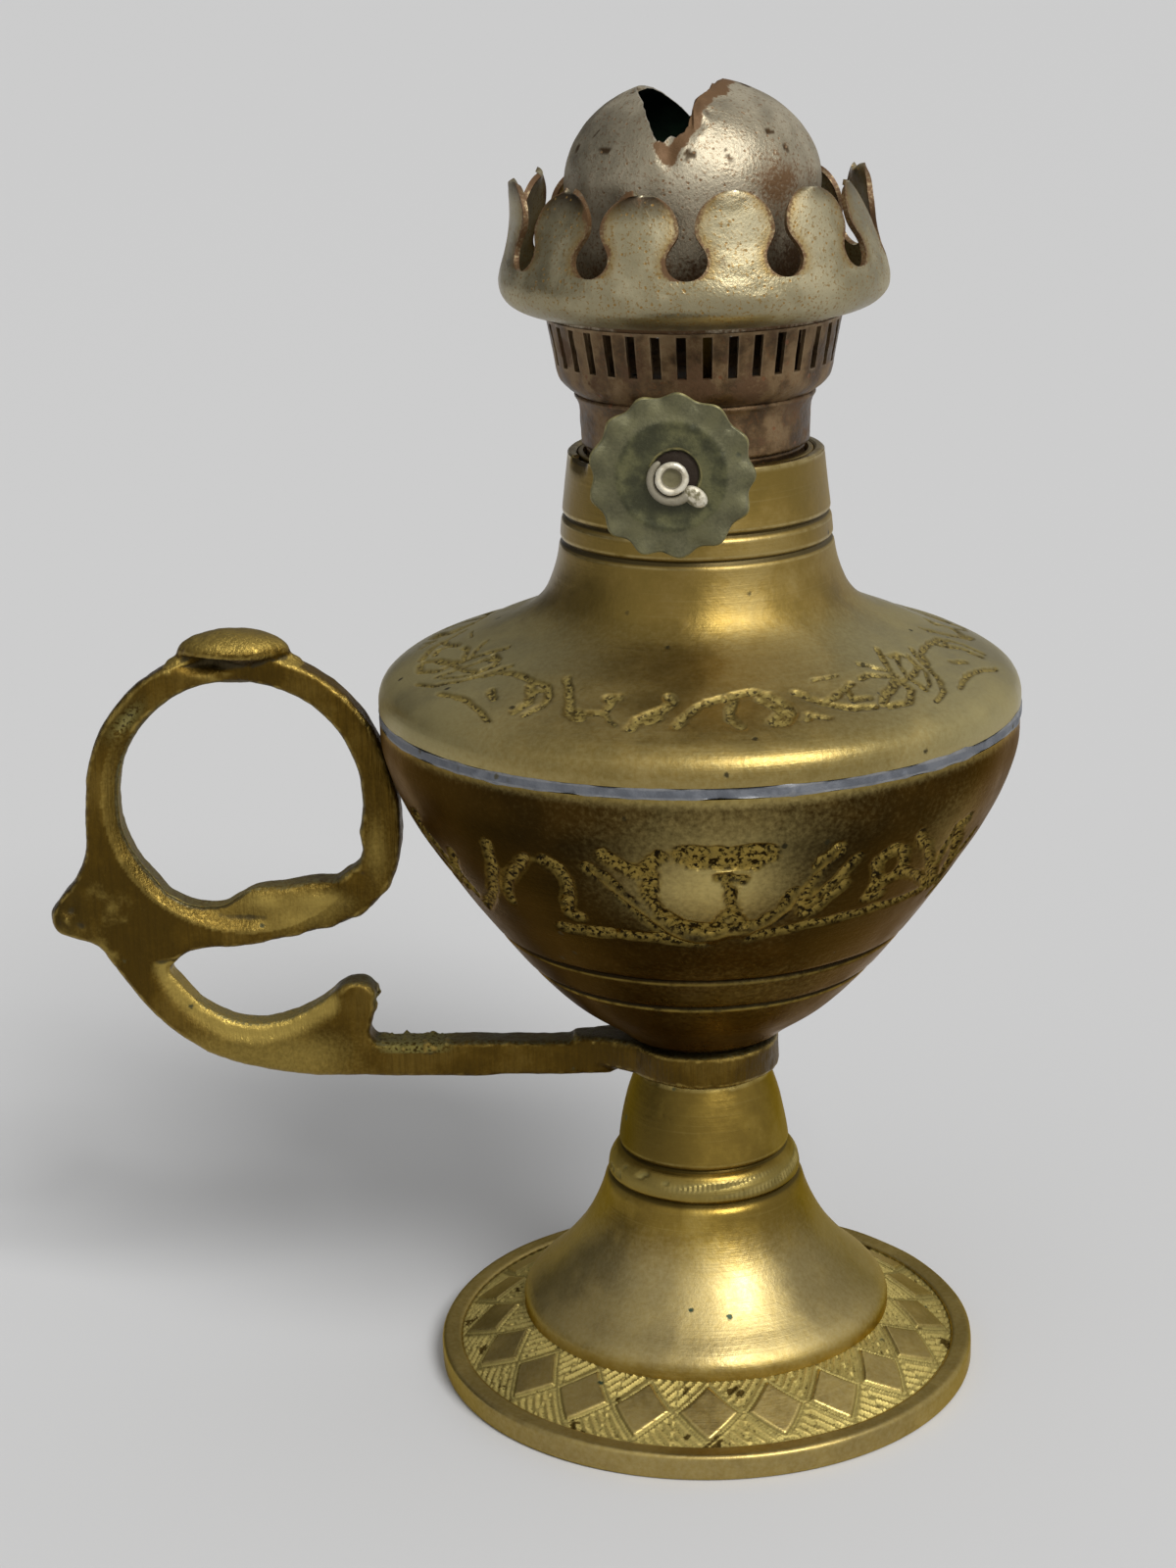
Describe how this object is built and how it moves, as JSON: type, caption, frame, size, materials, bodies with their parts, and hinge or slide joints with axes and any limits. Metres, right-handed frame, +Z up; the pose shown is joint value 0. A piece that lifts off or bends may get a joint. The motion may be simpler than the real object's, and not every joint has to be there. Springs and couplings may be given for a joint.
{
  "type": "kerosene lamp",
  "caption": "Small hand-held kerosene lamp with a round foot, cast finger-ring handle, turned font and a screw-in flat-wick burner with a winder wheel and a pronged crown.",
  "frame": {"origin": "middle of the bounding box at the underside of the foot", "axes": "+Z up along the lamp's axis, the handle towards -X, the thumbwheel towards -Y"},
  "size_m": [0.105, 0.068, 0.1406],
  "materials": {
    "aged_brass": "turned brass, aged and satin",
    "pale_brass": "worn brass, paler and matte",
    "cast_brass": "cast brass with file marks",
    "solder": "dull grey soft solder",
    "rusty_steel": "thin steel with rust-brown film",
    "plated_steel": "worn plating with rust specks",
    "wheel_patina": "dark green patina, edge rubbed bright",
    "bright_steel": "worn steel",
    "cotton": "woven cotton tape, charred at its top"
  },
  "bodies": {
    "font": {"foot": "aged_brass", "foot_stud": "bright_steel", "foot_washer": "bright_steel", "foot_nut": "bright_steel", "handle": "cast_brass", "bowl": "aged_brass", "solder_seam": "solder", "shoulder": "pale_brass", "neck_collar": "pale_brass"},
    "screw": {"burner_thread": "rusty_steel"},
    "burner": {"burner_cup": "rusty_steel", "air_gallery": "rusty_steel", "base_plate": "rusty_steel", "diffuser_plate": "rusty_steel", "wick_tube": "pale_brass", "winder_box": "rusty_steel", "vent_tube": "pale_brass", "shaft_bush": "rusty_steel"},
    "winder": {"winder_shaft": "bright_steel", "star_wheel_front": "bright_steel", "star_wheel_rear": "bright_steel", "thumbwheel": "wheel_patina", "wheel_clip": "bright_steel"},
    "wick": {"wick": "cotton"},
    "gallery": {"crown": "plated_steel", "dome": "plated_steel"}
  },
  "joints": [
    {"name": "burner_rise", "type": "slide", "parent": "font", "child": "screw", "axis": [0, 0, 1], "range_m": [0, 0.0045]},
    {"name": "burner_turn", "type": "hinge", "parent": "screw", "child": "burner", "pos_m": [0.01847, 0, 0.1], "axis": [0, 0, 1], "range_deg": [0, 1080]},
    {"name": "winder_turn", "type": "hinge", "parent": "burner", "child": "winder", "pos_m": [0.01617, 0, 0.10578], "axis": [0, -1, 0], "range_deg": [-79, 158]},
    {"name": "wick_rise", "type": "slide", "parent": "burner", "child": "wick", "axis": [0, 0, 1], "range_m": [-0.003, 0.006]},
    {"name": "crown_lift", "type": "slide", "parent": "burner", "child": "gallery", "axis": [0, 0, 1], "range_m": [0, 0.03]}
  ],
  "couplings": [
    {"joint": "burner_rise", "follows": "burner_turn", "m_per_rad": 0.00023873},
    {"joint": "winder_turn", "follows": "wick_rise", "rad_per_m": 454.55}
  ]
}
